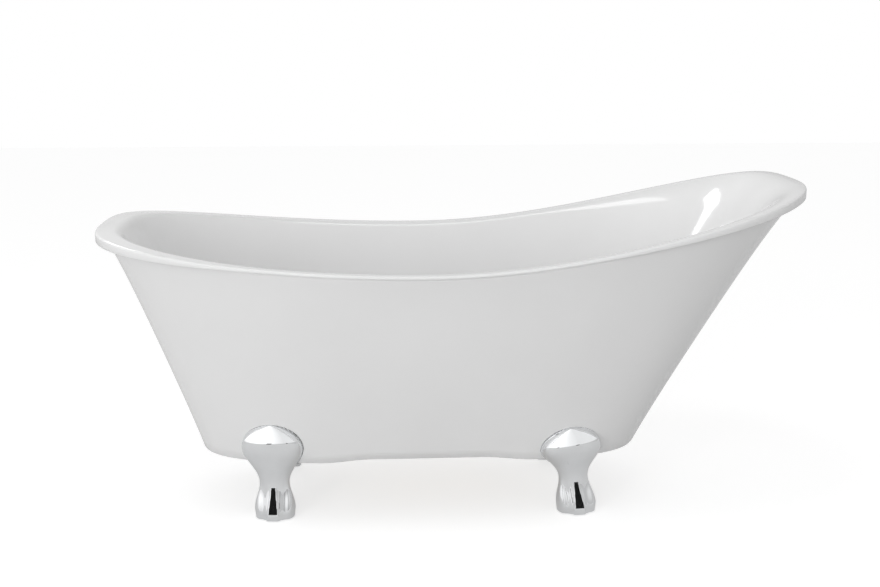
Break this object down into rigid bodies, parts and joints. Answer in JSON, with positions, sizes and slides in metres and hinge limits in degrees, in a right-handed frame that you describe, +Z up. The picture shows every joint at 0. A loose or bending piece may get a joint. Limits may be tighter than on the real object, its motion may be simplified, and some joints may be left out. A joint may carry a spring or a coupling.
{
  "type": "slipper bath",
  "caption": "Freestanding slipper bath with one raised end, a rolled rim, a double-skinned body, plain lobe-shaped chrome feet on levelling pads, a push plug and an overflow.",
  "frame": {"origin": "on the floor under the middle of the bath's outline", "axes": "+X towards the raised slipper end, +Y towards the back of the picture, +Z up"},
  "size_m": [1.7, 0.78, 0.796],
  "materials": {
    "white_acrylic": "glossy white sanitary acrylic",
    "chipboard": "plain chipboard",
    "zinc_steel": "bright zinc plated steel",
    "bright_chrome": "polished chrome plate",
    "black_rubber": "matt moulded rubber",
    "grey_plastic": "satin white-grey moulded plastic",
    "brass_core": "turned brass"
  },
  "bodies": {
    "bath": {"inner_shell": "white_acrylic", "outer_skin": "white_acrylic", "baseboard": "chipboard", "leg_rail_low": "zinc_steel", "leg_rail_high": "zinc_steel", "rail_screws": "zinc_steel", "foot_bolts": "zinc_steel", "foot_washers": "zinc_steel", "foot_nuts": "zinc_steel", "waste_flange": "bright_chrome", "waste_seal_top": "black_rubber", "waste_seal_bottom": "black_rubber", "waste_body": "grey_plastic", "plug_core": "brass_core", "overflow_cover": "bright_chrome", "overflow_bush": "grey_plastic", "overflow_seal": "black_rubber", "overflow_body": "grey_plastic", "overflow_pipe": "grey_plastic", "pipe_nuts": "grey_plastic", "pipe_rings": "black_rubber", "foot_low_front": "bright_chrome", "foot_low_rear": "bright_chrome", "foot_high_front": "bright_chrome", "foot_high_rear": "bright_chrome"},
    "plug": {"plug_cap": "bright_chrome", "plug_seal": "black_rubber"},
    "adjuster_low_front": {"leveller_low_front": "zinc_steel", "pad_low_front": "black_rubber"},
    "adjuster_low_rear": {"leveller_low_rear": "zinc_steel", "pad_low_rear": "black_rubber"},
    "adjuster_high_front": {"leveller_high_front": "zinc_steel", "pad_high_front": "black_rubber"},
    "adjuster_high_rear": {"leveller_high_rear": "zinc_steel", "pad_high_rear": "black_rubber"}
  },
  "joints": [
    {"name": "plug_lift", "type": "slide", "parent": "bath", "child": "plug", "axis": [0, 0, 1], "range_m": [0, 0.009]},
    {"name": "level_low_front", "type": "slide", "parent": "bath", "child": "adjuster_low_front", "axis": [0, 0, -1], "range_m": [0, 0.012]},
    {"name": "level_low_rear", "type": "slide", "parent": "bath", "child": "adjuster_low_rear", "axis": [0, 0, -1], "range_m": [0, 0.012]},
    {"name": "level_high_front", "type": "slide", "parent": "bath", "child": "adjuster_high_front", "axis": [0, 0, -1], "range_m": [0, 0.012]},
    {"name": "level_high_rear", "type": "slide", "parent": "bath", "child": "adjuster_high_rear", "axis": [0, 0, -1], "range_m": [0, 0.012]}
  ]
}
